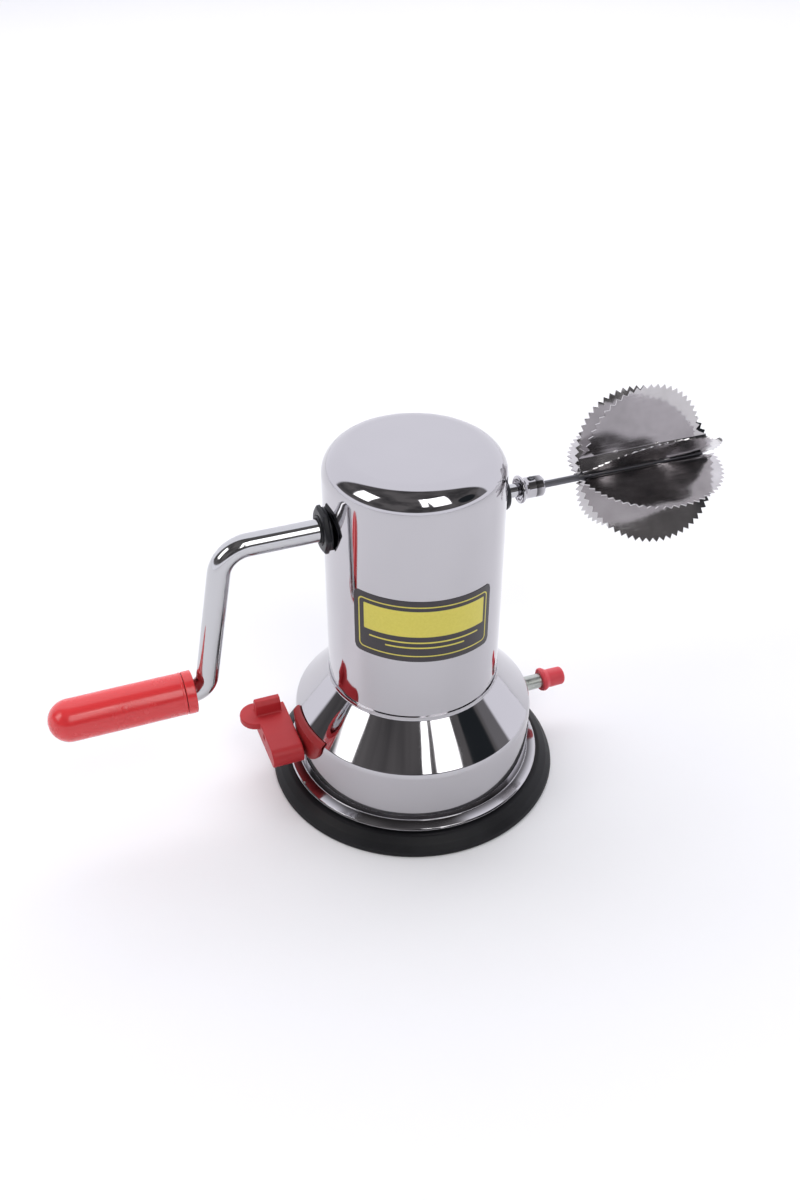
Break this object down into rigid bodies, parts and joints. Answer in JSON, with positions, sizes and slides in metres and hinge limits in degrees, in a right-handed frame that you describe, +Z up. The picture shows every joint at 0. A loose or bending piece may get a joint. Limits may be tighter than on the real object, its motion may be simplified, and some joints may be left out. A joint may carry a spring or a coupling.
{
  "type": "hand-cranked coconut scraper",
  "caption": "Table-top scraper: a side crank turns a toothed folded-blade head on a polished steel body held down by a lever-worked suction base.",
  "frame": {"origin": "on the table, under the axis of the round body, on the underside of the suction pad's centre boss", "axes": "+Z up; +X along the crank shaft from the crank towards the blades; -Y towards the label side"},
  "size_m": [0.2995, 0.1308, 0.171],
  "materials": {
    "polished_stainless": "mirror-polished stainless steel sheet",
    "crank_chrome": "bright chrome plate",
    "blade_steel": "polished stainless steel, stamped edges",
    "zinc_steel": "zinc-plated steel",
    "dark_rod_steel": "dull bright-drawn steel",
    "black_nylon": "black nylon, light moulding texture",
    "red_grip_plastic": "glossy red moulding",
    "red_lever_plastic": "semi-matt red moulding",
    "black_rubber": "smooth black moulded rubber",
    "label_film": "printed film, black and yellow, no lettering"
  },
  "bodies": {
    "base": {"body_cup": "polished_stainless", "base_shell": "polished_stainless", "neck_ring": "polished_stainless", "cam_carrier": "zinc_steel", "name_plate": "label_film", "bearing_tube": "black_nylon", "bearing_washer": "black_nylon", "bearing_nut": "black_nylon", "lever_saddle_plate": "red_lever_plastic", "shaft_bush": "red_lever_plastic", "pad_ring": "black_rubber", "pad_web": "black_rubber"},
    "crank": {"crank_rod": "crank_chrome", "spindle_washer": "zinc_steel", "blade_ferrule": "blade_steel", "ferrule_grub_screw": "dark_rod_steel", "blade_rod": "dark_rod_steel", "blade_1": "blade_steel", "blade_2": "blade_steel", "blade_3": "blade_steel", "blade_4": "blade_steel"},
    "grip": {"grip_sleeve": "red_grip_plastic", "grip_collar": "red_grip_plastic"},
    "vacuum_lever": {"cam_shaft": "zinc_steel", "cam": "zinc_steel", "cam_pin": "zinc_steel", "lever": "red_lever_plastic", "lever_pin": "zinc_steel", "shaft_clip_left": "zinc_steel", "shaft_clip_right": "zinc_steel", "shaft_end_cap": "red_lever_plastic"},
    "stud": {"suction_stud": "zinc_steel", "pad_boss": "black_rubber"}
  },
  "joints": [
    {"name": "crank_spin", "type": "hinge", "parent": "base", "child": "crank", "pos_m": [0, 0, 0.1358], "axis": [1, 0, 0], "continuous": true},
    {"name": "grip_spin", "type": "hinge", "parent": "crank", "child": "grip", "pos_m": [-0.12, 0, 0.0688], "axis": [1, 0, 0], "continuous": true},
    {"name": "lever_turn", "type": "hinge", "parent": "base", "child": "vacuum_lever", "pos_m": [0, 0, 0.0254], "axis": [1, 0, 0], "range_deg": [0, 90]},
    {"name": "stud_slide", "type": "slide", "parent": "base", "child": "stud", "axis": [0, 0, 1], "range_m": [0, 0.0045], "deforming": ["pad_web"]}
  ],
  "couplings": [
    {"joint": "lever_turn", "follows": "stud_slide", "rad_per_m": 349.06}
  ]
}
